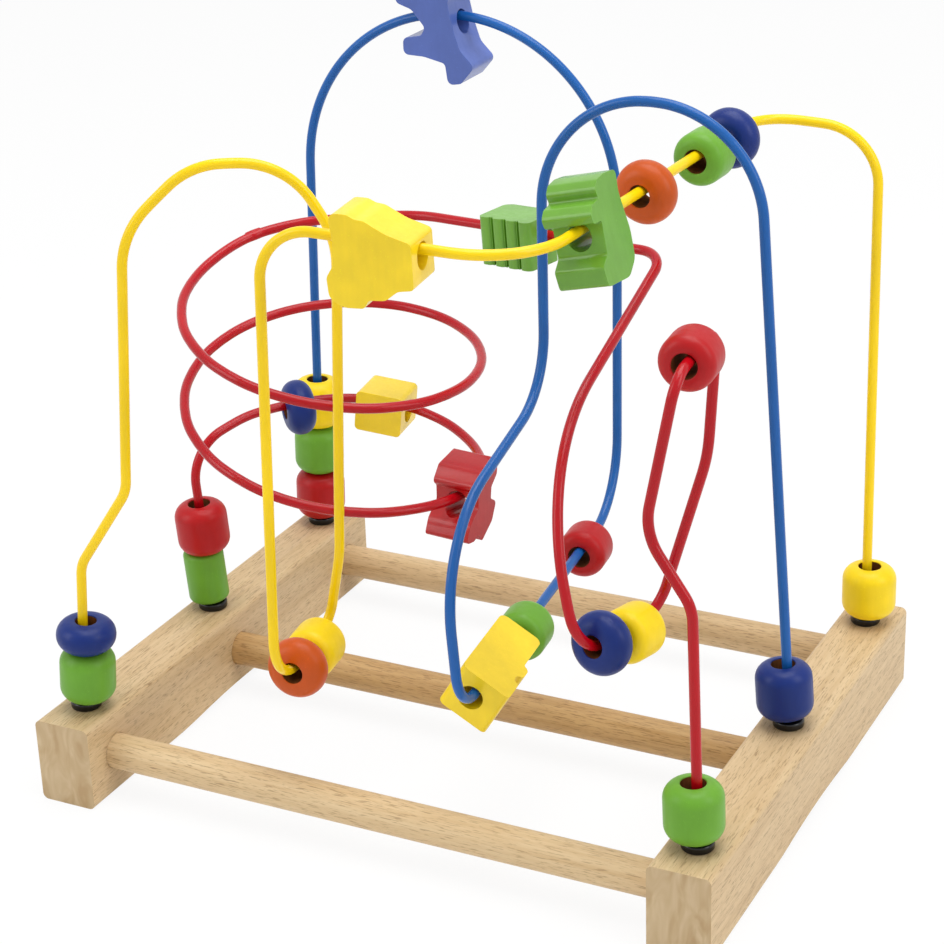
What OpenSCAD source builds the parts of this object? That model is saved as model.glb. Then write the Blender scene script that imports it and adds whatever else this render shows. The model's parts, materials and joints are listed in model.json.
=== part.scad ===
// Bead maze: three bent wires on a wooden base, with beads that slide along them.
// Millimetres. X runs left to right, Y front to back, Z up from the table.

/* [Base] */
// Length of each side rail, front to back
rail_l = 230; // [210:1:290]
// Width of each side rail
rail_w = 25; // [21:0.5:32]
// Height of each side rail
rail_h = 36; // [30:0.5:46]
// Distance between the centre lines of the two rails
rail_pitch = 265; // [255:1:330]
// Rounding along the rails' long edges
rail_round = 2.5; // [1:0.5:5]
// Rise of the shallow arch cut under each rail
arch_rise = 3.5; // [2:0.5:6]
// Length of that arch
arch_l = 110; // [60:1:130]

/* [Dowels] */
// Diameter of the three cross dowels
dowel_d = 14.5; // [10:0.5:18]
// Wood left between a dowel socket and the wire hole behind it
socket_wall = 1.5; // [1:0.5:3]

/* [Wires] */
// Diameter of the coated wire
wire_d = 4; // [3:0.1:5]
// Depth of the wire holes in the rails
wire_embed = 14; // [8:0.5:16]
// Distance from a rail's end to its outer wire holes
post_inset = 18.5; // [15:0.5:24]
// Radius of the red coil
coil_r = 60; // [52:0.5:64]
// Rise of the coil in one turn
coil_pitch = 43; // [36:0.5:52]
// Height over the rails at which the coil starts
coil_low = 66.5; // [60:0.5:80]
// Height of the yellow run over the red run
yellow_over = 44; // [38:1:60]
// Height of the blue arches over the yellow run
arch_over = 32; // [28:1:60]
// Radius of the large blue arch
arch_r = 73.5; // [66:0.5:80]

/* [Washers] */
// Diameter of the plastic washers
washer_d = 12.5; // [10:0.5:15]
// Height of the washers
washer_h = 3.5; // [2:0.25:5]

/* [Beads] */
// Diameter of the barrel beads
barrel_d = 22.5; // [19:0.5:28]
// Length of the barrel beads
barrel_l = 22.5; // [19:0.5:27]
// Bore of the barrel beads
barrel_bore = 9.5; // [8:0.25:11]
// Diameter of the drum beads
drum_d = 21; // [18:0.5:26]
// Length of the drum beads
drum_l = 18; // [15:0.5:22]
// Diameter of the disc beads
disc_d = 24; // [20:0.5:29]
// Length of the disc beads
disc_l = 12.5; // [10:0.25:15]
// Bore of the disc beads
disc_bore = 8.6; // [7.5:0.1:10]
// Diameter of the slim cylinder bead
slim_d = 17.5; // [15:0.5:21]
// Length of the slim cylinder bead
slim_l = 23.5; // [20:0.5:28]
// Edge rounding of the barrel and disc beads
bead_round = 6.25; // [3:0.25:6.5]
// Edge rounding of the drum beads
drum_round = 4.5; // [3:0.25:5.5]
// Edge rounding of the slim bead
slim_round = 2; // [1:0.25:2.5]
// Thickness of the flat shaped beads
plate_t = 20; // [16:0.5:24]
// Bore of the flat shaped beads
plate_bore = 10; // [9:0.25:11]
// Length of the plain block bead
block_l = 21; // [16:0.5:24]
// Height of the plain block bead
block_h = 18; // [15:0.5:22]
// Length of the footed bead
footed_l = 43.5; // [38:0.5:50]

/* [Hidden] */
// Free play between pieces that are glued or pressed together
fit_gap = 0.15;
// Free play between a bead and what it stands on
rest_gap = 0.3;
// Free play between a hanging bead and its wire
hang_gap = 0.6;
// Length of wire that stays upright over a rail, and the radius above it
knee = 10;
knee_r = 30;
// Sides of the wire's outline, and the largest step of a bend in the wires and the outlines
wire_sides = 12;
bend_step = 7.5;
outline_step = 18;
// Points nearer than this are one point
same_point = 0.05;
$fn = 48;

left = -rail_pitch / 2;
right = rail_pitch / 2;
front = post_inset - rail_l / 2;
middle = 0;
back = rail_l / 2 - post_inset;
deck = rail_h;
dowel_z = rail_h / 2;
socket_depth = (rail_w - wire_d) / 2 - fit_gap - socket_wall;
dowel_l = rail_pitch - rail_w + 2 * (socket_depth - fit_gap);

wood = [0.82, 0.68, 0.47];
black = [0.08, 0.08, 0.09];
yellow = [0.95, 0.83, 0.18];
red = [0.74, 0.12, 0.15];
blue = [0.16, 0.26, 0.58];
green = [0.45, 0.66, 0.25];
orange = [0.83, 0.34, 0.11];
steel_blue = [0.22, 0.44, 0.70];
sky_blue = [0.36, 0.45, 0.74];

// Vectors
function unit(v) = v / norm(v);
function spot(c) = [c[0], c[1], c[2]];
function clamp(v) = max(-1, min(1, v));

// The coil: corners of a many-sided turn that the bends round off into a circle
coil_x = left + coil_r + 6.5;
coil_z = deck + coil_low;
coil_tilt_x = -0.147;
coil_tilt_y = 0.116;
coil_corner_step = 22.5;
coil_end = 765;
// The coil is bent by hand: by the turn, how far it strays from an even one in height and in radius
coil_sway_z = [
    [0, 5.5], [45, 0.3], [75, -0.5], [100, -3], [140, -5.2], [200, 0], [610, 1], [640, 0], [675, -2.5],
    [720, -5], [765, -3]
];
coil_sway_r = [
    [150, 0], [190, 1.5], [230, 0], [440, 0], [510, 1.8], [570, 0], [620, 0], [680, -2], [765, -2]
];
function coil_at(turn, r) =
    let (
        dx = -(r + lookup(turn, coil_sway_r)) * cos(turn),
        dy = (r + lookup(turn, coil_sway_r)) * sin(turn),
        rise = coil_pitch * turn / 360 + lookup(turn, coil_sway_z)
    )
    [coil_x + dx, middle + dy, coil_z + rise + coil_tilt_x * dx + coil_tilt_y * dy];
function coil_way(turn) = unit(coil_at(turn + 0.5, coil_r) - coil_at(turn - 0.5, coil_r));
coil_corner_r = coil_r / cos(coil_corner_step / 2);
coil_bend_r = 0.93 * coil_r;
coil_corners = [for (turn = [coil_corner_step:coil_corner_step:coil_end])
    concat(coil_at(turn, coil_corner_r), [coil_bend_r])];

// Heights of the long runs over the rails
red_run = coil_low + coil_pitch * coil_end / 360 + 12;
yellow_run = red_run + yellow_over;
blue_top = yellow_run + arch_over;

// Each route is a list of corners: x, y, z and the radius of the bend there
function post(x, y) = [[x, y, deck - wire_embed, 0], [x, y, deck + knee, knee_r]];
function post_down(x, y) = [[x, y, deck + knee, knee_r], [x, y, deck - wire_embed, 0]];

// The low yellow loop hangs in front of the coil and is as long as its two beads need
loop_spare = 17;
leg_y = middle - coil_r - 0.5;
loop_front = leg_y - drum_l - disc_l - loop_spare;
yellow_route = concat(post(left, front), [
    [left + 4.5, front, deck + 64, 16],
    [left + 29.5, front, deck + 100, 18],
    [left + 38.5, front, deck + yellow_run - 9, 36],
    [left + 62.5, front + 12, deck + yellow_run + 16, 30],
    [left + 93.5, leg_y - 8, deck + yellow_run + 16, 30],
    [left + 108, leg_y, deck + yellow_run - 14, 36],
    [left + 101.5, leg_y, deck + 71, 40],
    [left + 92, leg_y + 5, deck + 36, 10],
    [left + 98, loop_front, deck + 34, 20],
    [left + 104.5, loop_front, deck + yellow_run + 5.5, 20],
    [right - 62.5, front - 1, deck + yellow_run - 0.5, 34],
    [right - 49.5, back - 4, deck + yellow_run + 3, 20],
    [right - 1.5, back, deck + yellow_run, 24]
], post_down(right, back));

// The low red loop is as long as its two beads need too
red_low = [right - 43.5, front - 5.3, deck + 71];
red_low_way = unit([19, 100, -9.5]);
red_low_end = red_low + (drum_l + disc_l + loop_spare + 3.5) * red_low_way;
red_route = concat(post(left, middle), [[left - 2.3, middle - 4, deck + coil_low + 9.5, 20]], coil_corners, [
    [left + 76, middle + coil_r, deck + red_run, 45],
    [right - 64.5, middle + 30, deck + red_run + 7, 14],
    [right - 64.5, front + 8.5, deck + red_run - 35, 85],
    concat(red_low, [14]),
    concat(red_low_end, [13]),
    [right - 15.5, front + 47, deck + 132, 65],
    [right - 13.5, front + 50, deck + 180, 10],
    [right - 9.5, front + 2, deck + 179.5, 10],
    [right - 20.5, front, deck + 121.5, 24],
    [right - 2.5, front, deck + 95.5, 18]
], post_down(right, front));

arch_left = left + 7.5;
arch_right = arch_left + 2 * arch_r - 2;
small_arch_r = 43;
blue_route = concat(post(left, back), [
    [arch_left, back, deck + blue_top, arch_r],
    [arch_right, back, deck + blue_top, arch_r],
    [arch_right - 0.5, back - 2.5, deck + 37.5, 32],
    [arch_right + 18, front, deck + 34, 15],
    [arch_right + 13, front, deck + 104, 50],
    [arch_right + 12, middle - 4.5, deck + 129, 31],
    [arch_right + 10.5, middle, deck + blue_top - 1, small_arch_r],
    [right - 16.5, middle, deck + blue_top - 1, small_arch_r]
], post_down(right, middle));

// The bend at corner b, between corners a and c: its turn, its centre, a spot on it and its points
function bend_turn(a, b, c) = 180 - acos(clamp(unit(spot(a) - spot(b)) * unit(spot(c) - spot(b))));
function bend_centre(a, b, c) =
    let (before = unit(spot(a) - spot(b)), after = unit(spot(c) - spot(b)))
    spot(b) + unit(before + after) * b[3] / cos(bend_turn(a, b, c) / 2);
function bend_spot(a, b, c, turn) =
    let (
        before = unit(spot(a) - spot(b)),
        centre = bend_centre(a, b, c),
        spoke = unit(spot(b) + before * b[3] * tan(bend_turn(a, b, c) / 2) - centre)
    )
    centre + b[3] * (spoke * cos(turn) - before * sin(turn));
function bend_points(a, b, c, step) =
    let (whole = bend_turn(a, b, c), count = ceil(whole / step))
    [for (i = [0:count]) bend_spot(a, b, c, whole * i / count)];

function rounded(route) =
    let (
        last = len(route) - 1,
        bends = [for (i = [1:last - 1]) each bend_points(route[i - 1], route[i], route[i + 1], bend_step)],
        all = concat([spot(route[0])], bends, [spot(route[last])])
    )
    [for (i = [0:len(all) - 1]) if (i == 0 || norm(all[i] - all[i - 1]) > same_point) all[i]];

// A round wire swept along a list of points
function way_at(points, i) = unit(points[min(i + 1, len(points) - 1)] - points[max(i - 1, 0)]);
function square_to(v, way) = unit(v - (v * way) * way);
first_arrow = [0.3, 1, 0.2];
function side_arrows(points) =
    [for (i = 0, arrow = square_to(first_arrow, way_at(points, 0));
        i < len(points);
        i = i + 1, arrow = i < len(points) ? square_to(arrow, way_at(points, i)) : arrow) arrow];

module wire(route) {
    points = rounded(route);
    arrows = side_arrows(points);
    count = len(points);
    rings = [for (i = [0:count - 1], k = [0:wire_sides - 1])
        let (turn = 360 * k / wire_sides, across = cross(way_at(points, i), arrows[i]))
        points[i] + wire_d / 2 * (arrows[i] * cos(turn) + across * sin(turn))];
    walls = [for (i = [0:count - 2], k = [0:wire_sides - 1])
        let (low = i * wire_sides, high = low + wire_sides, next = (k + 1) % wire_sides)
        each [[low + k, high + next, low + next], [low + k, high + k, high + next]]];
    bottom = [[for (k = [0:wire_sides - 1]) k]];
    top = [[for (k = [wire_sides - 1:-1:0]) (count - 1) * wire_sides + k]];
    polyhedron(rings, concat(walls, bottom, top), convexity = 10);
}

// Putting a bead on a route: its own Z follows the wire and its own Y points up
module place(at, way, up) {
    z = unit(way);
    x = unit(cross(up, z));
    y = cross(z, x);
    multmatrix([
        [x[0], y[0], z[0], at[0]],
        [x[1], y[1], z[1], at[1]],
        [x[2], y[2], z[2], at[2]],
        [0, 0, 0, 1]
    ]) children();
}

upward = [0, 0, 1];

module on_run(route, corner, along, sag = 0, up = upward, aside = 0) {
    start = spot(route[corner]);
    way = unit(spot(route[corner + 1]) - start);
    place(start + along * way - sag * upward + [aside, 0, 0], way, up) children();
}

// A bead on a bend, a few degrees past its start or, below zero, before its end, and a little inside it
module on_bend(route, corner, past, inset, aside = 0) {
    a = route[corner - 1];
    b = route[corner];
    c = route[corner + 1];
    turn = past < 0 ? bend_turn(a, b, c) + past : past;
    at = bend_spot(a, b, c, turn);
    way = bend_spot(a, b, c, turn + 1) - bend_spot(a, b, c, turn - 1);
    place(at + inset * unit(bend_centre(a, b, c) - at) + [aside, 0, 0], way, upward) children();
}

module on_coil(turn, sag) {
    place(coil_at(turn, coil_r) - sag * upward, coil_way(turn), upward) children();
}

// Beads stacked on a post, between its knee and the next corner, clear of the washer where the post leans.
// They sit loosely, so each may rest a little aside of the wire.
module on_post(route, knee_corner, next_corner, height, aside = 0) {
    start = spot(route[knee_corner]);
    way = unit(spot(route[next_corner]) - start);
    lean = washer_d / 2 * norm([way[0], way[1]]);
    place(start + (height + lean - knee) * way + [aside, 0, 0], way, [0, 1, 0]) children();
}

// Heights of the stacked beads over the rail
first_bead = washer_h + rest_gap + barrel_l / 2;
second_bead = first_bead + barrel_l + rest_gap;
third_bead = second_bead + barrel_l + rest_gap;
disc_on_barrel = first_bead + barrel_l / 2 + rest_gap + disc_l / 2;
slim_bead = washer_h + rest_gap + slim_l / 2;
barrel_on_slim = slim_bead + slim_l / 2 + rest_gap + barrel_l / 2;

// The play of a bore round the wire, and how far a hanging bead's bore drops below the wire,
// on a straight run and on the coil
function play(bore) = (bore - wire_d) / 2;
function hang(bore) = play(bore) - hang_gap;
function coil_hang(bore, bead_l) = sqrt(pow(hang(bore), 2) - pow(bead_l * bead_l / (8 * coil_r), 2));

// The runs that carry beads, by their first corner
yellow_loop = 9;
yellow_front = 11;
yellow_side = 12;
red_top = len(coil_corners) + 3;
red_loop = red_top + 3;
red_high = red_top + 6;
blue_low = 4;
yellow_end = len(yellow_route) - 2;
red_end = len(red_route) - 2;
blue_end = len(blue_route) - 2;
function run_l(route, corner) = norm(spot(route[corner + 1]) - spot(route[corner]));

// Where the beads are along those runs
pair_gap = 0.6;
drum_disc = (drum_l + disc_l) / 2 + pair_gap;
y3_at = 16.5;
y3_sag = 1.4;
y4_past = 5;
y4_inset = -0.5;
y5_at = run_l(yellow_route, yellow_front) / 2 - 2.3;
y5_sag = 1.8;
y6_at = 43.5;
y6_up = [-0.24, 0, 0.97];
y9_at = run_l(yellow_route, yellow_side) - 28;
y8_at = y9_at - drum_disc - 7;
y7_at = 90;
r3_turn = 45;
r4_turn = 82;
r5_turn = 188;
r5_lift = 0.8;
waist_l = 14;
r6_at = run_l(red_route, red_top) / 2 - 7;
r7_past = -4;
r7_inset = 0.7;
r8_at = 32.6;
r8_sag = 1.1;
r9_at = 26;
r9_sag = 1.7;
b4_x = (arch_left + arch_right) / 2 - 5;
b5_at = 44;
b7_at = run_l(blue_route, blue_low) - 36;
b7_sag = 1.5;
b6_at = b7_at - (footed_l + drum_l) / 2 - pair_gap - 4;
footed_up = [-0.85, 0, 0.53];

// How far to the right of their wire some loose beads rest
y1_aside = 1.8;
y2_aside = 1.5;
y3_aside = 1;
y4_slack = 1.1;
y4_aside = play(disc_bore) - y4_slack;
y10_aside = 1.2;
r1_aside = -1.8;
r7_aside = 0.7;
r8_aside = 1.3;
r9_aside = -1.5;
r10_aside = -1.4;
b7_aside = -1.4;
b8_aside = -1.6;

// Turned beads
module turned(d, l, bore, round) {
    edge = min(round, l / 2 - 0.25, (d - bore) / 2 - 0.5);
    rotate_extrude()
    difference() {
        union() {
            translate([0, -l / 2]) square([d / 2 - edge, l]);
            translate([0, edge - l / 2]) square([d / 2, l - 2 * edge]);
            for (end = [-1, 1])
                translate([d / 2 - edge, end * (l / 2 - edge)]) circle(edge);
        }
        translate([-d, -l]) square([d + bore / 2, 2 * l]);
    }
}

module barrel() {
    turned(barrel_d, barrel_l, barrel_bore, bead_round);
}

module disc() {
    turned(disc_d, disc_l, disc_bore, bead_round);
}

module drum() {
    turned(drum_d, drum_l, barrel_bore, drum_round);
}

module slim() {
    turned(slim_d, slim_l, barrel_bore, slim_round);
}

// Flat shaped beads: an outline in the plane of the wire with the bore across it. An outline's
// corners are the place along the wire, the height over the wire and the corner's radius.
function flat(c) = [c[0], c[1], 0, c[2]];
function outline(corners) =
    let (n = len(corners))
    [for (i = [0:n - 1])
        let (a = flat(corners[(i + n - 1) % n]), b = flat(corners[i]), c = flat(corners[(i + 1) % n]))
        for (p = bend_points(a, b, c, outline_step)) [p[0], p[1]]];

module plate(corners, drop = 0) {
    difference() {
        rotate([0, -90, 0])
        linear_extrude(plate_t, center = true)
        polygon(outline(corners));
        translate([0, -drop, 0])
        cylinder(d = plate_bore, h = 4 * plate_t, center = true);
    }
}

block = [
    [-block_l / 2, block_h / 2, 2], [block_l / 2, block_h / 2, 2],
    [block_l / 2, -block_h / 2, 2], [-block_l / 2, -block_h / 2, 2]
];

lobed = [
    [-16.9, 13.2, 2.5], [-9.8, 13.6, 4], [-7, 12.4, 3], [-3.5, 12.2, 5], [4.5, 8.6, 10], [13.8, 6.4, 2],
    [15.3, -10, 1.5], [9.3, -11.3, 3], [5, -15.2, 3.5], [-1.2, -16, 1.6], [-2.8, -19.3, 2], [-10, -20, 5],
    [-15.8, -17.6, 4], [-17, -10, 3], [-14.5, -5.2, 3], [-14.9, 4, 12]
];

scalloped = [
    [2.5, 17.2, 2.5], [11, 16.3, 2], [9.6, 8.5, 8], [11.6, -6, 10], [10.5, -16, 5], [4, -21, 5],
    [-11.4, -19.8, 2], [-12, -12.5, 2], [-7.5, -9.2, 2.5], [-6, 2.8, 1], [-11.4, 2.8, 1.6], [-12.2, 6.5, 2.2],
    [-9.5, 9.4, 2], [-4.6, 10.2, 1], [-5.6, 13.6, 2.2], [-2.8, 16.4, 2]
];

waisted = [
    [-13.2, 15, 1.5], [-0.6, 11.2, 2.5], [3.6, 4.8, 2], [0.9, 2.6, 1], [0.5, -3.7, 2.5], [6.5, -9.5, 4],
    [9, -16.5, 1.5], [3.5, -16.8, 1.5], [-0.4, -15, 1], [-2.3, -18.7, 1.2], [-10, -11.7, 4], [-12.8, -4.2, 2],
    [-8.7, -2, 1.2], [-9, 3, 2], [-13, 7.5, 3]
];

limbed = [
    [-18, 5.5, 2.5], [-11, 3.2, 4], [-5, -4, 2], [-7, -7.5, 2], [-15.5, -9, 2.5], [-15.5, -16, 2.5],
    [-6, -16.3, 6], [3.8, -18.5, 2], [5, -27.5, 2.5], [11, -26.5, 2.5], [17.5, -19, 2.5], [11, -12.5, 6],
    [8.5, -5, 8], [5.5, 8, 6], [11, 15, 3.5], [9, 24, 3.5], [1, 22, 5], [-6, 18, 6], [-16, 21, 3.5],
    [-19, 12, 3.5]
];

// The footed bead is a block with two feet along one side
footed_h = 9.5;
foot_end = -12;
foot_a = [footed_l / 2 - 11.5, footed_l / 2];
foot_b = [-1, 6];
footed = [
    [-footed_l / 2, footed_h, 3], [foot_a[1], footed_h, 3], [foot_a[1], foot_end, 2], [foot_a[0], foot_end, 2],
    [foot_a[0], -footed_h, 1.5], [foot_b[1], -footed_h, 1.5], [foot_b[1], foot_end, 2],
    [foot_b[0], foot_end, 2], [foot_b[0], -footed_h, 1.5], [-footed_l / 2, -footed_h, 3]
];

// The ridged bead has a row of equal bumps along one side
ridge_count = 4;
ridge_pitch = 6.6;
ridge_top = 11;
ridge_foot = 6.5;
ridged_end = ridge_count * ridge_pitch / 2;
ridge_side = 0.45 * ridge_pitch;
ridges = [for (i = [0:ridge_count - 1])
    let (crest = ridged_end - (i + 0.5) * ridge_pitch)
    each [
        [crest + ridge_side, ridge_top, 2.4],
        [crest - ridge_side, ridge_top, 2.4],
        if (i < ridge_count - 1) [crest - ridge_pitch / 2, ridge_foot, 0.3]
    ]];
ridged = concat(ridges, [
    [-ridged_end, -6.5, 2.5], [3 - ridged_end, -8.5, 2], [ridged_end - 4, -8.8, 2.5], [ridged_end, -6.5, 2.5]
]);

// Base
module rail(side) {
    centre = side * rail_pitch / 2;
    inner = centre - side * rail_w / 2;
    arch_cut_r = (arch_l * arch_l / 4 + arch_rise * arch_rise) / (2 * arch_rise);
    difference() {
        translate([centre, 0, rail_h / 2])
        rotate([90, 0, 0])
        linear_extrude(rail_l, center = true) {
            square([rail_w - 2 * rail_round, rail_h], center = true);
            square([rail_w, rail_h - 2 * rail_round], center = true);
            for (x = [-1, 1], z = [-1, 1])
                translate([x * (rail_w / 2 - rail_round), z * (rail_h / 2 - rail_round)])
                circle(rail_round);
        }
        translate([centre, 0, arch_rise - arch_cut_r])
        rotate([0, 90, 0])
        cylinder(r = arch_cut_r, h = 2 * rail_w, center = true, $fn = 180);
        for (y = [front, middle, back]) {
            translate([inner, y, dowel_z])
            rotate([0, 90, 0])
            cylinder(d = dowel_d + 2 * fit_gap, h = 2 * socket_depth, center = true);
            translate([centre, y, deck - wire_embed - fit_gap])
            cylinder(d = wire_d + 2 * fit_gap, h = rail_h);
        }
    }
}

module dowel(y) {
    translate([0, y, dowel_z])
    rotate([0, 90, 0])
    cylinder(d = dowel_d, h = dowel_l, center = true);
}

module washer(x, y) {
    translate([x, y, deck + washer_h / 2])
    turned(washer_d, washer_h, wire_d + 2 * fit_gap, 1);
}

color(wood) rail(-1);  // rail_left
color(wood) rail(1);  // rail_right
color(wood) dowel(front);  // dowel_front
color(wood) dowel(middle);  // dowel_middle
color(wood) dowel(back);  // dowel_back

color(yellow) wire(yellow_route);  // wire_yellow
color(red) wire(red_route);  // wire_red
color(steel_blue) wire(blue_route);  // wire_blue

color(black) washer(left, front);  // washer_left_front
color(black) washer(left, middle);  // washer_left_middle
color(black) washer(left, back);  // washer_left_back
color(black) washer(right, front);  // washer_right_front
color(black) washer(right, middle);  // washer_right_middle
color(black) washer(right, back);  // washer_right_back

// Beads on the yellow wire
color(green) on_post(yellow_route, 1, 2, first_bead, y1_aside) barrel();  // bead_y1_barrel_green
color(blue) on_post(yellow_route, 1, 2, disc_on_barrel, y2_aside) disc();  // bead_y2_disc_blue
color(yellow) on_run(yellow_route, yellow_loop, y3_at, y3_sag, upward, y3_aside) drum();  // bead_y3_drum_yellow
color(orange) on_bend(yellow_route, yellow_loop + 1, y4_past, y4_inset, y4_aside) disc();  // bead_y4_disc_orange
color(yellow) on_run(yellow_route, yellow_front, y5_at, y5_sag) plate(lobed, hang(plate_bore) - y5_sag);  // bead_y5_lobed_yellow
color(green) on_run(yellow_route, yellow_side, y6_at, 0, y6_up) plate(scalloped, hang(plate_bore));  // bead_y6_scalloped_green
color(orange) on_run(yellow_route, yellow_side, y7_at, hang(disc_bore)) disc();  // bead_y7_disc_orange
color(green) on_run(yellow_route, yellow_side, y8_at, hang(barrel_bore)) drum();  // bead_y8_drum_green
color(blue) on_run(yellow_route, yellow_side, y9_at, hang(disc_bore)) disc();  // bead_y9_disc_blue
color(yellow) on_post(yellow_route, yellow_end, yellow_end - 1, first_bead, y10_aside) barrel();  // bead_y10_barrel_yellow

// Beads on the red wire
color(green) on_post(red_route, 1, 2, slim_bead, r1_aside) slim();  // bead_r1_slim_green
color(red) on_post(red_route, 1, 2, barrel_on_slim) barrel();  // bead_r2_barrel_red
color(blue) on_coil(r3_turn, coil_hang(disc_bore, disc_l)) disc();  // bead_r3_disc_blue
color(yellow) on_coil(r4_turn, coil_hang(plate_bore, block_l)) plate(block);  // bead_r4_block_yellow
color(red) on_coil(r5_turn, -r5_lift) plate(waisted, coil_hang(plate_bore, waist_l) + r5_lift);  // bead_r5_waisted_red
color(green) on_run(red_route, red_top, r6_at, hang(plate_bore), [0, -1, 0]) plate(ridged);  // bead_r6_ridged_green
color(blue) on_bend(red_route, red_loop, r7_past, r7_inset, r7_aside) disc();  // bead_r7_disc_blue
color(yellow) on_run(red_route, red_loop, r8_at, r8_sag, upward, r8_aside) drum();  // bead_r8_drum_yellow
color(red) on_run(red_route, red_high, r9_at, r9_sag, upward, r9_aside) drum();  // bead_r9_drum_red
color(green) on_post(red_route, red_end, red_end - 1, first_bead, r10_aside) barrel();  // bead_r10_barrel_green

// Beads on the blue wire
color(red) on_post(blue_route, 1, 2, first_bead) barrel();  // bead_b1_barrel_red
color(green) on_post(blue_route, 1, 2, second_bead) barrel();  // bead_b2_barrel_green
color(yellow) on_post(blue_route, 1, 2, third_bead) barrel();  // bead_b3_barrel_yellow
color(sky_blue) place([b4_x, back, deck + blue_top], [1, 0, 0], upward) plate(limbed, hang(plate_bore));  // bead_b4_limbed_blue
color(red) on_run(blue_route, blue_low, b5_at, hang(barrel_bore)) drum();  // bead_b5_drum_red
color(green) on_run(blue_route, blue_low, b6_at, hang(barrel_bore)) drum();  // bead_b6_drum_green
color(yellow) on_run(blue_route, blue_low, b7_at, b7_sag, footed_up, b7_aside) plate(footed);  // bead_b7_footed_yellow
color(blue) on_post(blue_route, blue_end, blue_end - 1, first_bead, b8_aside) barrel();  // bead_b8_barrel_blue
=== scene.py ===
import json
import math

import bmesh
import bpy
from mathutils import Matrix, Vector


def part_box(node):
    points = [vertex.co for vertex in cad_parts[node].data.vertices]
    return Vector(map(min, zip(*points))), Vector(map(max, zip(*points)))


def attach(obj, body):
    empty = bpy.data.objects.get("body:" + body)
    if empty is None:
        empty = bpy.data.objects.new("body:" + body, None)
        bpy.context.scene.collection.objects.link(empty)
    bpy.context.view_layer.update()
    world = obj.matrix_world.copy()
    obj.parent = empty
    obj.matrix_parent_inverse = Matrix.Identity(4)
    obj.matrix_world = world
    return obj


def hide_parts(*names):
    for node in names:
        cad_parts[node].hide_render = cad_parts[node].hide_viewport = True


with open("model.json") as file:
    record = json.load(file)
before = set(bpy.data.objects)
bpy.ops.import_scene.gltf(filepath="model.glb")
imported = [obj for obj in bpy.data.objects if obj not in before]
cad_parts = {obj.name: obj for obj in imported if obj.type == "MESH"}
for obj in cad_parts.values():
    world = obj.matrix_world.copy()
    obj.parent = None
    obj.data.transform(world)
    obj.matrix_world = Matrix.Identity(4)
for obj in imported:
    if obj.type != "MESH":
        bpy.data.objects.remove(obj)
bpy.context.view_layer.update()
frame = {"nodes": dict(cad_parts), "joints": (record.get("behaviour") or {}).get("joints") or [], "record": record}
nodes = frame["nodes"]
bodies = frame["record"]["behaviour"]["bodies"]
joint_of = {joint["child"]: joint for joint in frame["joints"]}
body_of = {node: body for body, members in bodies.items() for node in members}
slot_of = {part["node"]: part["material_slot"] for part in frame["record"]["subparts"]}

MM = 0.001
UP = Vector((0, 0, 1))

# Sizes of the turned pieces, as in the CAD model
TURNED_BEADS = {
    "barrel": {"across": 22.5 * MM, "length": 22.5 * MM, "bore": 9.5 * MM, "edge": 6 * MM},
    "drum": {"across": 21 * MM, "length": 18 * MM, "bore": 9.5 * MM, "edge": 4.5 * MM},
    "disc": {"across": 24 * MM, "length": 12.5 * MM, "bore": 8.6 * MM, "edge": 6 * MM},
    "slim": {"across": 17.5 * MM, "length": 23.5 * MM, "bore": 9.5 * MM, "edge": 2 * MM},
}
WASHER = {"across": 12.5 * MM, "length": 3.5 * MM, "bore": 4.3 * MM, "edge": 1 * MM}
BORE_LIP = 0.45 * MM
WIRE_RADIUS = 2 * MM

# Eased edges: their width, and the angle in degrees over which an edge is sharp enough to ease
BEAD_EASE = {"width": 1.1 * MM, "sharp_degrees": 40}
WOOD_EASE = {"width": 0.8 * MM, "sharp_degrees": 50}

# Smoothness of the meshes
ROUND_STEPS = 72
EDGE_STEPS = 8
EASE_STEPS = 3
TUBE_SPLITS = 4
TUBE_ROUNDNESS = 6
LONGEST_BEND_CHORD = 15 * MM
FOOT_BAND = 0.1 * MM
WELD_DISTANCE = 0.001 * MM
FLAT_DEGREES = 0.6


# Colours, read from the photograph
def linear(red, green, blue):
    """A colour given in 0 to 255 as a screen shows it, in the linear values that shaders take."""
    def channel(level):
        shown = level / 255
        return shown / 12.92 if shown <= 0.04045 else ((shown + 0.055) / 1.055) ** 2.4
    return channel(red), channel(green), channel(blue), 1.0


def shade(colour, factor):
    """The same colour, darker for a factor under 1 and lighter for one over it."""
    return tuple(min(1.0, channel * factor) for channel in colour[:3]) + (1.0,)


BEAD_COLOURS = {
    "bead_yellow": linear(246, 212, 14),
    "bead_red": linear(176, 10, 16),
    "bead_green": linear(104, 162, 46),
    "bead_blue": linear(5, 38, 112),
    "bead_sky_blue": linear(78, 102, 178),
    "bead_orange": linear(196, 80, 8),
}
WIRE_COLOURS = {
    "wire_yellow": linear(246, 208, 10),
    "wire_red": linear(176, 5, 20),
    "wire_blue": linear(22, 90, 164),
}
RAIL_TONES = {
    "pale": linear(218, 193, 153),
    "mid": linear(192, 161, 117),
    "dark": linear(124, 90, 52),
}
# Tones of each dowel's wood; the middle dowel's darker tones are partly its own wood and partly painted shade of
# the wires and beads above it
DOWEL_TONES_AND_SHADE = {
    "dowel_front": {
        "pale": linear(224, 199, 158),
        "mid": linear(200, 168, 122),
        "dark": linear(124, 88, 50),
    },
    # Painted shade: these darker tones stand partly for the shade that the wires and beads cast on the middle
    # dowel
    "dowel_middle": {
        "pale": linear(206, 170, 118),
        "mid": linear(174, 134, 82),
        "dark": linear(104, 68, 34),
    },
    "dowel_back": {
        "pale": linear(214, 186, 144),
        "mid": linear(186, 154, 110),
        "dark": linear(116, 82, 46),
    },
}
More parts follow.
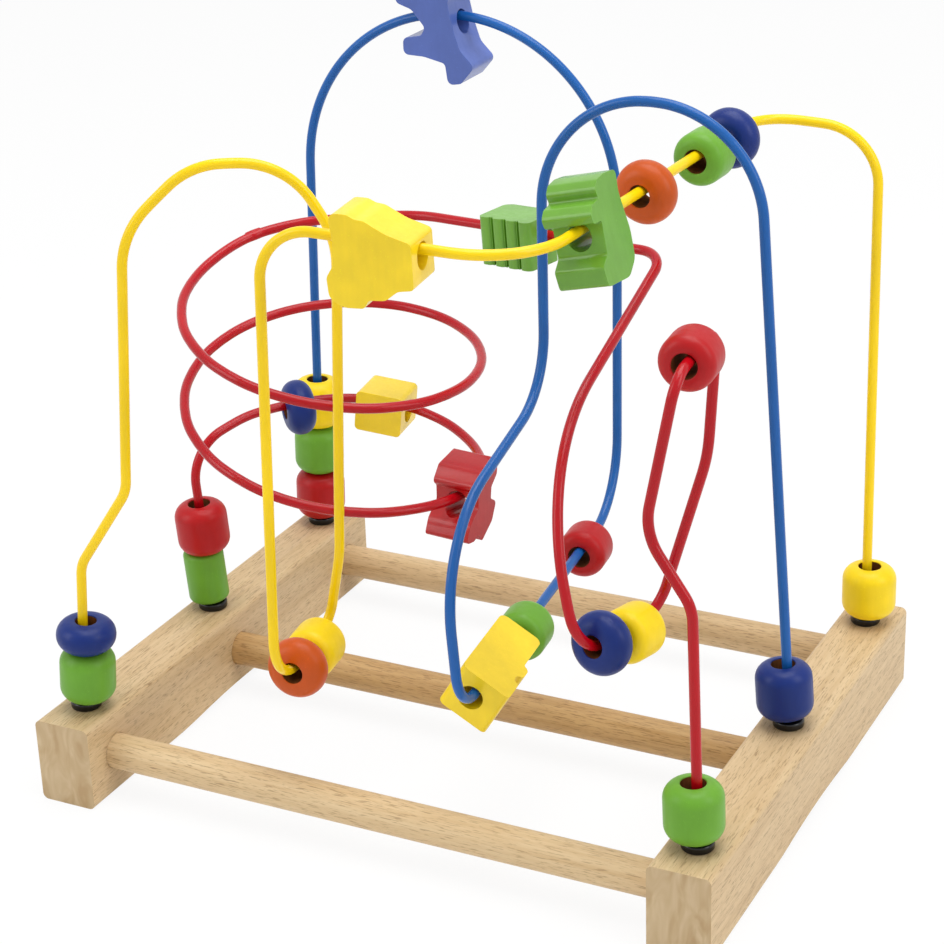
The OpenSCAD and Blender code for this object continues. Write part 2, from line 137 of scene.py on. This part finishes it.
# Bore colour: raw wood, darker partly as painted shade inside the hole
BORE_BROWN_AND_SHADE = linear(112, 70, 38)
WASHER_BLACK = linear(9, 9, 11)
BLACK = linear(0, 0, 0)
GREY = linear(205, 205, 205)
WHITE = linear(255, 255, 255)
FLOOR_WHITE = linear(250, 250, 250)

# Patterns of the materials: scale counts repeats in a metre, and a stretch under 1 draws them out
EVEN = (1.0, 1.0, 1.0)
GRAIN_STRETCH = 0.05
PORE_STRETCH = 0.085
RING_STRETCH = (1.0, 1.0, 0.35)
WOOD_BANDS = {"scale": 75.0, "detail": 3.0, "roughness": 0.55, "distortion": 0.4}
WOOD_STREAKS = {"scale": 420.0, "detail": 4.0, "roughness": 0.65}
WOOD_PORES = {"scale": 2100.0, "detail": 2.0, "roughness": 0.6}
WOOD_CLUSTERS = {"scale": 140.0, "detail": 2.0}
WOOD_RINGS = {"scale": 160.0, "detail": 2.0, "distortion": 1.2}
STREAK_SHARE = 0.55
BEAD_STRETCH = (1.0, 1.0, 0.12)
BEAD_GRAIN = {"scale": 520.0, "detail": 3.0, "roughness": 0.6}
PAINT_CLOUD = {"scale": 55.0, "detail": 3.0}
PAINT_SPECKS = {"scale": 1500.0, "detail": 2.0, "roughness": 0.7}
COAT_CLOUD = {"scale": 25.0, "detail": 2.0}
COAT_RIPPLE = {"scale": 70.0, "detail": 1.0}
PLASTIC_STRETCH = (1.0, 1.0, 0.3)
PLASTIC_MARKS = {"scale": 1100.0, "detail": 4.0, "roughness": 0.7}

# The stretch of a pattern in which its colours change; most of a noise lies in its middle range
NOISE_LOW = 0.3
NOISE_HIGH = 0.7
STREAK_RANGE = {"start": 0.32, "end": 0.62}
PORE_RANGE = {"start": 0.54, "end": 0.66}
CLUSTER_RANGE = {"start": 0.35, "end": 0.65}
MARK_RANGE = {"start": 0.35, "end": 0.75}

# How far a face looks along the grain, from 0 to 1: a side up to the first, a sawn end from the second
SIDE_FACING = 0.5
END_FACING = 0.8

# Shades of the materials, as factors on their colours
SAWN_MID_SHADE = 0.86
SAWN_PALE_SHADE = 0.84
PAINT_SHADES = {"darkest": 0.90, "lightest": 1.07}
PAINT_GRAIN_SHADE = 0.72
PAINT_SPECK_SHADE = 1.35
BORE_SHADES = {"darkest": 0.7, "lightest": 1.2}
COAT_SHADES = {"darkest": 0.93, "lightest": 1.06}
PLASTIC_SHADES = {"darkest": 0.8, "lightest": 2.0}

# How much of the paint shows its grain and specks; a low end far under 0 keeps the specks few and small
PAINT_GRAIN_SHARE = {"low": 0.0, "high": 0.16}
PAINT_SPECK_SHARE = {"low": -2.6, "high": 0.42}

# Roughness of the materials, which follows their patterns
WOOD_ROUGHNESS = {"low": 0.44, "high": 0.58}
PAINT_ROUGHNESS = {"low": 0.36, "high": 0.48}
BORE_ROUGHNESS = {"low": 0.75, "high": 0.9}
COAT_ROUGHNESS = {"low": 0.20, "high": 0.26}
PLASTIC_ROUGHNESS = {"low": 0.14, "high": 0.24}

# Gloss of the materials: the surface's own reflection, and a clear coat over it
WOOD_GLOSS = {"specular": 0.30, "coat": 0.05, "coat_roughness": 0.35}
TURNED_GLOSS = {"specular": 0.26, "coat": 0.06, "coat_roughness": 0.14}
SHAPED_GLOSS = {"specular": 0.26, "coat": 0.5, "coat_roughness": 0.14}
BORE_GLOSS = {"specular": 0.05, "coat": 0.0, "coat_roughness": 0.03}
COAT_GLOSS = {"specular": 0.26, "coat": 0.07, "coat_roughness": 0.12}
PLASTIC_GLOSS = {"specular": 0.3, "coat": 0.15, "coat_roughness": 0.03}

# Relief of the materials: the height of their bumps, and how strongly it shows
WOOD_RELIEF = {"distance": 0.12 * MM, "strength": 0.2}
PAINT_RELIEF = {"distance": 0.06 * MM, "strength": 0.22}
BORE_RELIEF = {"distance": 0.1 * MM, "strength": 0.3}
COAT_RELIEF = {"distance": 0.05 * MM, "strength": 0.05}
PLASTIC_RELIEF = {"distance": 0.03 * MM, "strength": 0.2}


# Shader helpers
def add_node(tree, kind, settings=None, **inputs):
    """A new shader node: settings are its options, and inputs its sockets by name, with _ for a space."""
    node = tree.nodes.new(kind)
    for name, value in (settings or {}).items():
        setattr(node, name, value)
    for name, value in inputs.items():
        node.inputs[name.replace("_", " ")].default_value = value
    return node


def new_material(name):
    material = bpy.data.materials.new(name)
    material.use_nodes = True
    tree = material.node_tree
    return material, tree, tree.nodes["Principled BSDF"]


def stretched_coordinates(tree, stretch):
    """Row-frame coordinates, scaled by a different number along each axis."""
    where = add_node(tree, "ShaderNodeTexCoord")
    mapping = add_node(tree, "ShaderNodeMapping", Scale=stretch)
    tree.links.new(where.outputs["Object"], mapping.inputs["Vector"])
    return mapping.outputs["Vector"]


def drawn_out(along, share):
    """Scales that draw a pattern out along one axis."""
    return [share if axis == along else 1.0 for axis in "XYZ"]


def noise(tree, vector, scale, detail, roughness=0.5, distortion=0.0):
    node = add_node(
        tree, "ShaderNodeTexNoise", Scale=scale, Detail=detail, Roughness=roughness, Distortion=distortion
    )
    tree.links.new(vector, node.inputs["Vector"])
    return node.outputs["Fac"]


def ramp(tree, factor, first, last, start=NOISE_LOW, end=NOISE_HIGH):
    """A change from the first colour to the last, while the factor goes from start to end."""
    node = add_node(tree, "ShaderNodeValToRGB")
    for element, place, colour in zip(node.color_ramp.elements, (start, end), (first, last)):
        element.position = place
        element.color = colour
    tree.links.new(factor, node.inputs["Fac"])
    return node.outputs["Color"]


def shade_ramp(tree, factor, colour, darkest, lightest, **stretch):
    """A change from the darkest to the lightest shade of one colour."""
    return ramp(tree, factor, shade(colour, darkest), shade(colour, lightest), **stretch)


def spread(tree, factor, low, high):
    """A noise's middle range, spread over low to high and kept between them."""
    node = add_node(
        tree, "ShaderNodeMapRange", From_Min=NOISE_LOW, From_Max=NOISE_HIGH, To_Min=low, To_Max=high
    )
    tree.links.new(factor, node.inputs["Value"])
    return node.outputs["Result"]


def mix_colours(tree, factor, first, second, blend="MIX"):
    node = add_node(tree, "ShaderNodeMix", {"data_type": "RGBA", "blend_type": blend})
    for socket, value in ((node.inputs[0], factor), (node.inputs[6], first), (node.inputs[7], second)):
        if isinstance(value, (int, float, tuple)):
            socket.default_value = value
        else:
            tree.links.new(value, socket)
    return node.outputs[2]


def end_share(tree, along):
    """1 on the sawn ends, which face along the grain, and 0 on the other faces."""
    where = add_node(tree, "ShaderNodeTexCoord")
    parts = add_node(tree, "ShaderNodeSeparateXYZ")
    tree.links.new(where.outputs["Normal"], parts.inputs[0])
    facing = add_node(tree, "ShaderNodeMath", {"operation": "ABSOLUTE"})
    tree.links.new(parts.outputs[along], facing.inputs[0])
    share = add_node(tree, "ShaderNodeMapRange", From_Min=SIDE_FACING, From_Max=END_FACING)
    tree.links.new(facing.outputs[0], share.inputs["Value"])
    return share.outputs["Result"]


def surface(tree, shader, colour, roughness, gloss):
    """Sets a shader's colour and roughness from patterns, and its gloss from plain numbers."""
    tree.links.new(colour, shader.inputs["Base Color"])
    tree.links.new(roughness, shader.inputs["Roughness"])
    shader.inputs["Specular IOR Level"].default_value = gloss["specular"]
    shader.inputs["Coat Weight"].default_value = gloss["coat"]
    shader.inputs["Coat Roughness"].default_value = gloss["coat_roughness"]


def bump(tree, shader, height, distance, strength):
    node = add_node(tree, "ShaderNodeBump", Strength=strength, Distance=distance)
    tree.links.new(height, node.inputs["Height"])
    tree.links.new(node.outputs["Normal"], shader.inputs["Normal"])


# Materials
def bare_wood(name, along, pale, mid, dark):
    """Pale sanded wood with its grain and short fine pores along one axis of the row frame."""
    material, tree, shader = new_material(name)
    grain_place = stretched_coordinates(tree, drawn_out(along, GRAIN_STRETCH))
    pore_place = stretched_coordinates(tree, drawn_out(along, PORE_STRETCH))
    bands = noise(tree, grain_place, **WOOD_BANDS)
    streaks = noise(tree, grain_place, **WOOD_STREAKS)
    pores = noise(tree, pore_place, **WOOD_PORES)
    clusters = noise(tree, grain_place, **WOOD_CLUSTERS)
    rings = noise(tree, stretched_coordinates(tree, RING_STRETCH), **WOOD_RINGS)
    banded = ramp(tree, bands, mid, pale)
    streaked = ramp(tree, streaks, mid, pale, **STREAK_RANGE)
    sides = mix_colours(tree, STREAK_SHARE, banded, streaked)
    pore_share = ramp(tree, pores, BLACK, GREY, **PORE_RANGE)
    cluster_share = ramp(tree, clusters, GREY, WHITE, **CLUSTER_RANGE)
    pore_share = mix_colours(tree, 1.0, pore_share, cluster_share, "MULTIPLY")
    sides = mix_colours(tree, pore_share, sides, dark)
    sawn = ramp(tree, rings, shade(mid, SAWN_MID_SHADE), shade(pale, SAWN_PALE_SHADE))
    colour = mix_colours(tree, end_share(tree, along), sides, sawn)
    surface(tree, shader, colour, spread(tree, streaks, **WOOD_ROUGHNESS), WOOD_GLOSS)
    bump(tree, shader, streaks, **WOOD_RELIEF)
    return material


def painted_wood(name, colour, gloss):
    """Satin or glossy paint on wood, with a faint grain showing through and small worn specks."""
    material, tree, shader = new_material(name)
    place = stretched_coordinates(tree, EVEN)
    cloud = noise(tree, place, **PAINT_CLOUD)
    grain = noise(tree, stretched_coordinates(tree, BEAD_STRETCH), **BEAD_GRAIN)
    specks = noise(tree, place, **PAINT_SPECKS)
    grain_share = spread(tree, grain, **PAINT_GRAIN_SHARE)
    speck_share = spread(tree, specks, **PAINT_SPECK_SHARE)
    body = shade_ramp(tree, cloud, colour, **PAINT_SHADES)
    body = mix_colours(tree, grain_share, body, shade(colour, PAINT_GRAIN_SHADE))
    body = mix_colours(tree, speck_share, body, shade(colour, PAINT_SPECK_SHADE))
    surface(tree, shader, body, spread(tree, grain, **PAINT_ROUGHNESS), gloss)
    bump(tree, shader, grain, **PAINT_RELIEF)
    return material


def drilled_wood(name):
    """Raw brown wood inside a drilled bore, rough and without gloss; its dark brown is partly painted shade of the
    hole.
    """
    material, tree, shader = new_material(name)
    fibres = noise(tree, stretched_coordinates(tree, BEAD_STRETCH), **BEAD_GRAIN)
    body = shade_ramp(tree, fibres, BORE_BROWN_AND_SHADE, **BORE_SHADES)
    surface(tree, shader, body, spread(tree, fibres, **BORE_ROUGHNESS), BORE_GLOSS)
    bump(tree, shader, fibres, **BORE_RELIEF)
    return material


def coated_wire(name, colour):
    """A smooth glossy plastic coat on wire, with slow changes of colour and a slight ripple."""
    material, tree, shader = new_material(name)
    place = stretched_coordinates(tree, EVEN)
    cloud = noise(tree, place, **COAT_CLOUD)
    ripple = noise(tree, place, **COAT_RIPPLE)
    body = shade_ramp(tree, cloud, colour, **COAT_SHADES)
    surface(tree, shader, body, spread(tree, ripple, **COAT_ROUGHNESS), COAT_GLOSS)
    bump(tree, shader, ripple, **COAT_RELIEF)
    return material


def black_plastic(name):
    """Glossy moulded plastic with fine handling marks."""
    material, tree, shader = new_material(name)
    marks = noise(tree, stretched_coordinates(tree, PLASTIC_STRETCH), **PLASTIC_MARKS)
    body = shade_ramp(tree, marks, WASHER_BLACK, **PLASTIC_SHADES, **MARK_RANGE)
    surface(tree, shader, body, spread(tree, marks, **PLASTIC_ROUGHNESS), PLASTIC_GLOSS)
    bump(tree, shader, marks, **PLASTIC_RELIEF)
    return material


turned_paint = {slot: painted_wood(slot, colour, TURNED_GLOSS) for slot, colour in BEAD_COLOURS.items()}
shaped_paint = {
    slot: painted_wood(slot + "_shaped", colour, SHAPED_GLOSS) for slot, colour in BEAD_COLOURS.items()
}
# Raw wood inside the bores, with painted shade of the hole in its dark brown
bore_wood_and_shade = drilled_wood("bore_wood_and_shade")
wire_coat = {slot: coated_wire(slot, colour) for slot, colour in WIRE_COLOURS.items()}
washer_plastic = black_plastic("washer_black")
rail_wood = bare_wood("rail_wood", "Y", **RAIL_TONES)
# The middle dowel's material carries painted shade in its darker tones
dowel_wood = {node: bare_wood(node + "_wood", "X", **tones) for node, tones in DOWEL_TONES_AND_SHADE.items()}


# Pieces
def show_instead(piece, node, *finishes):
    """Puts a detailed piece in the place of a CAD node."""
    for finish in finishes:
        piece.data.materials.append(finish)
    bpy.context.scene.collection.objects.link(piece)
    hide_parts(node)
    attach(piece, body_of[node])


def arc(out, height, radius, start, end):
    """Points of a round between two angles in degrees, about a centre out from the axis at a height."""
    points = []
    for step in range(EDGE_STEPS + 1):
        angle = math.radians(start + (end - start) * step / EDGE_STEPS)
        points.append((out + radius * math.cos(angle), height + radius * math.sin(angle)))
    return points


def turned_profile(across, length, bore, edge):
    """Half of a turned bead's outline, from the bore's lower lip round the outside to its upper lip."""
    top = length / 2
    lip = bore / 2 + BORE_LIP
    shoulder = across / 2 - edge
    profile = arc(lip, -top + BORE_LIP, BORE_LIP, 180, 270)
    profile += arc(shoulder, -top + edge, edge, 270, 360)
    profile += arc(shoulder, top - edge, edge, 0, 90)
    profile += arc(lip, top - BORE_LIP, BORE_LIP, 90, 180)
    return profile


def turned_mesh(name, size, bore_finish):
    """A closed ring turned about its own Z axis; bore_finish is the number of the finish on its bore."""
    profile = turned_profile(**size)
    mesh = bpy.data.meshes.new(name)
    ring = bmesh.new()
    columns = []
    for step in range(ROUND_STEPS):
        angle = 2 * math.pi * step / ROUND_STEPS
        column = []
        for out, height in profile:
            column.append(ring.verts.new((out * math.cos(angle), out * math.sin(angle), height)))
        columns.append(column)
    count = len(profile)
    for step in range(ROUND_STEPS):
        here = columns[step]
        there = columns[(step + 1) % ROUND_STEPS]
        for index in range(count):
            after = (index + 1) % count
            face = ring.faces.new((here[index], there[index], there[after], here[after]))
            face.material_index = bore_finish if after == 0 else 0
    bmesh.ops.recalc_face_normals(ring, faces=ring.faces)
    ring.to_mesh(mesh)
    ring.free()
    mesh.shade_smooth()
    return mesh


def bead_axis(node):
    """The way a turned bead's bore points: along its slide, or along its arc round a bend."""
    joint = joint_of[body_of[node]]
    axis = Vector(joint["axis"])
    if joint["type"] == "slide":
        return axis.normalized()
    low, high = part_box(node)
    return axis.cross((low + high) / 2 - Vector(joint["pos_m"])).normalized()


def turned_piece(node, size, axis, *finishes):
    """A turned bead or washer in its CAD node's place; the last of its finishes is on the bore."""
    low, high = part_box(node)
    mesh = turned_mesh(node + "_turned", size, len(finishes) - 1)
    tilt = UP.rotation_difference(axis).to_matrix().to_4x4()
    mesh.transform(Matrix.Translation((low + high) / 2) @ tilt)
    show_instead(bpy.data.objects.new(node + "_turned", mesh), node, *finishes)


def eased_piece(node, width, sharp_degrees, material):
    """A copy of a CAD node with its sharp edges eased by a small round."""
    mesh = nodes[node].data.copy()
    mesh.materials.clear()
    shape = bmesh.new()
    shape.from_mesh(mesh)
    bmesh.ops.remove_doubles(shape, verts=shape.verts, dist=WELD_DISTANCE)
    bmesh.ops.dissolve_limit(
        shape,
        angle_limit=math.radians(FLAT_DEGREES),
        verts=shape.verts,
        edges=shape.edges,
        use_dissolve_boundaries=False,
    )
    shape.to_mesh(mesh)
    shape.free()
    piece = bpy.data.objects.new(node + "_eased", mesh)
    show_instead(piece, node, material)
    ease = piece.modifiers.new("ease", "BEVEL")
    ease.width = width
    ease.segments = EASE_STEPS
    ease.limit_method = "ANGLE"
    ease.angle_limit = math.radians(sharp_degrees)
    ease.harden_normals = True
    mesh.shade_smooth()
    mesh.set_sharp_from_angle(angle=math.radians(sharp_degrees))


def tube_middle(node):
    """The centre line of a wire: the middles of its rings of vertices, from the left post to the right."""
    tube = bmesh.new()
    tube.from_mesh(nodes[node].data)
    bmesh.ops.remove_doubles(tube, verts=tube.verts, dist=WELD_DISTANCE)
    foot = min(vertex.co.z for vertex in tube.verts)
    ring = {vertex for vertex in tube.verts if vertex.co.z < foot + FOOT_BAND and vertex.co.x < 0}
    seen = set(ring)
    middle = []
    while ring:
        middle.append(sum((vertex.co for vertex in ring), Vector()) / len(ring))
        ring = {edge.other_vert(vertex) for vertex in ring for edge in vertex.link_edges} - seen
        seen |= ring
    tube.free()
    return middle


def smooth_line(points):
    """The same line with its bends split finer, on a Hermite curve through the same points."""
    last = len(points) - 1
    ways = []
    for index in range(len(points)):
        ways.append((points[min(index + 1, last)] - points[max(index - 1, 0)]).normalized())
    line = []
    for index in range(last):
        start = points[index]
        end = points[index + 1]
        span = (end - start).length
        splits = TUBE_SPLITS if span < LONGEST_BEND_CHORD else 1
        for step in range(splits):
            share = step / splits
            line.append(
                start * (2 * share**3 - 3 * share**2 + 1)
                + end * (3 * share**2 - 2 * share**3)
                + ways[index] * span * (share**3 - 2 * share**2 + share)
                + ways[index + 1] * span * (share**3 - share**2)
            )
    line.append(points[last])
    return line


def wire_piece(node, material):
    """A smooth round tube along a wire's centre line."""
    curve = bpy.data.curves.new(node + "_tube", "CURVE")
    curve.dimensions = "3D"
    curve.bevel_depth = WIRE_RADIUS
    curve.bevel_resolution = TUBE_ROUNDNESS
    curve.use_fill_caps = True
    line = smooth_line(tube_middle(node))
    spline = curve.splines.new("POLY")
    spline.points.add(len(line) - 1)
    for point, place in zip(spline.points, line):
        point.co = (*place, 1.0)
    spline.use_smooth = True
    show_instead(bpy.data.objects.new(node + "_tube", curve), node, material)


def bead_piece(node):
    """A round bead is turned, and a shaped one keeps its CAD form; its name's third word tells which."""
    kind = node.split("_")[2]
    slot = slot_of[node]
    if kind in TURNED_BEADS:
        turned_piece(node, TURNED_BEADS[kind], bead_axis(node), turned_paint[slot], bore_wood_and_shade)
    else:
        eased_piece(node, **BEAD_EASE, material=shaped_paint[slot])


for node in nodes:
    if node.startswith("wire_"):
        wire_piece(node, wire_coat[slot_of[node]])
    elif node.startswith("washer_"):
        turned_piece(node, WASHER, UP, washer_plastic)
    elif node.startswith("rail_"):
        eased_piece(node, **WOOD_EASE, material=rail_wood)
    elif node.startswith("dowel_"):
        eased_piece(node, **WOOD_EASE, material=dowel_wood[node])
    else:
        bead_piece(node)


# Stage: a pale floor and surroundings that stay white to the camera, and a soft shadow
FLOOR_SIZE = 12.0
FLOOR_ROUGHNESS = 0.9
FLOOR_GLOW = 0.9
SKY_LIGHT = 0.5
SKY_SEEN = 1.0


def seen_share(tree):
    """1 for what is seen directly, mirrored or through something clear, and 0 for light on a surface."""
    path = add_node(tree, "ShaderNodeLightPath")
    seen = path.outputs["Is Camera Ray"]
    for mirrored in ("Is Glossy Ray", "Is Transmission Ray"):
        either = add_node(tree, "ShaderNodeMath", {"operation": "MAXIMUM"})
        tree.links.new(seen, either.inputs[0])
        tree.links.new(path.outputs[mirrored], either.inputs[1])
        seen = either.outputs[0]
    return seen


def floor_material():
    """White where it is seen, with a share of its own shading left, so that the shadow shows."""
    material, tree, shader = new_material("floor")
    shader.inputs["Base Color"].default_value = FLOOR_WHITE
    shader.inputs["Roughness"].default_value = FLOOR_ROUGHNESS
    glow = add_node(tree, "ShaderNodeEmission", Color=WHITE, Strength=1.0)
    share = add_node(tree, "ShaderNodeMath", {"operation": "MULTIPLY"})
    share.inputs[1].default_value = FLOOR_GLOW
    tree.links.new(seen_share(tree), share.inputs[0])
    mix = add_node(tree, "ShaderNodeMixShader")
    tree.links.new(share.outputs[0], mix.inputs[0])
    tree.links.new(shader.outputs[0], mix.inputs[1])
    tree.links.new(glow.outputs[0], mix.inputs[2])
    tree.links.new(mix.outputs[0], tree.nodes["Material Output"].inputs["Surface"])
    return material


def surroundings():
    """Even light from all round, which is white where it is seen."""
    world = bpy.data.worlds.new("studio")
    world.use_nodes = True
    bpy.context.scene.world = world
    tree = world.node_tree
    sky = tree.nodes["Background"]
    sky.inputs["Color"].default_value = WHITE
    level = add_node(tree, "ShaderNodeMapRange", To_Min=SKY_LIGHT, To_Max=SKY_SEEN)
    tree.links.new(seen_share(tree), level.inputs["Value"])
    tree.links.new(level.outputs["Result"], sky.inputs["Strength"])


bpy.ops.mesh.primitive_plane_add(size=FLOOR_SIZE)
floor = bpy.context.object
floor.name = "floor"
floor.data.materials.append(floor_material())
surroundings()

# Lamps: places and sizes in metres, power in watts
LAMP_AIM = Vector((0.0, 0.0, 0.13))
SOFTBOXES = {
    "overhead": {"place": (0.1, 0.1, 1.5), "size": (1.2, 1.0), "power": 15.2},
    "left": {"place": (-1.0, -0.9, 0.8), "size": (0.6, 1.0), "power": 5.5},
    "right": {"place": (1.3, -0.1, 0.9), "size": (0.6, 1.0), "power": 6.0},
}


def softbox(name, place, size, power):
    lamp = bpy.data.lights.new(name, "AREA")
    lamp.shape = "RECTANGLE"
    lamp.size, lamp.size_y = size
    lamp.energy = power
    box = bpy.data.objects.new(name, lamp)
    bpy.context.scene.collection.objects.link(box)
    box.location = place
    box.rotation_euler = (LAMP_AIM - Vector(place)).to_track_quat("-Z", "Y").to_euler()


for name, setting in SOFTBOXES.items():
    softbox(name, **setting)

# Camera of the photograph: place in metres, angles in degrees, focal length and width in pixels
PICTURE_WIDTH = 944
FOCAL_PIXELS = 2432.35
CAMERA_PLACE = (0.40534, -0.79589, 0.51260)
CAMERA_YAW = 27.164
CAMERA_PITCH = 23.606
CAMERA_ROLL = -1.954
SENSOR_WIDTH = 36.0
FARTHEST_SEEN = 50.0

camera_data = bpy.data.cameras.new("camera")
camera_data.sensor_width = SENSOR_WIDTH
camera_data.lens = FOCAL_PIXELS / PICTURE_WIDTH * SENSOR_WIDTH
camera_data.clip_end = FARTHEST_SEEN
camera = bpy.data.objects.new("camera", camera_data)
bpy.context.scene.collection.objects.link(camera)
turn = (
    Matrix.Rotation(math.radians(CAMERA_YAW), 4, "Z")
    @ Matrix.Rotation(math.radians(90 - CAMERA_PITCH), 4, "X")
    @ Matrix.Rotation(math.radians(CAMERA_ROLL), 4, "Z")
)
camera.matrix_world = Matrix.Translation(CAMERA_PLACE) @ turn
bpy.context.scene.camera = camera
bpy.context.scene.view_settings.view_transform = "Standard"
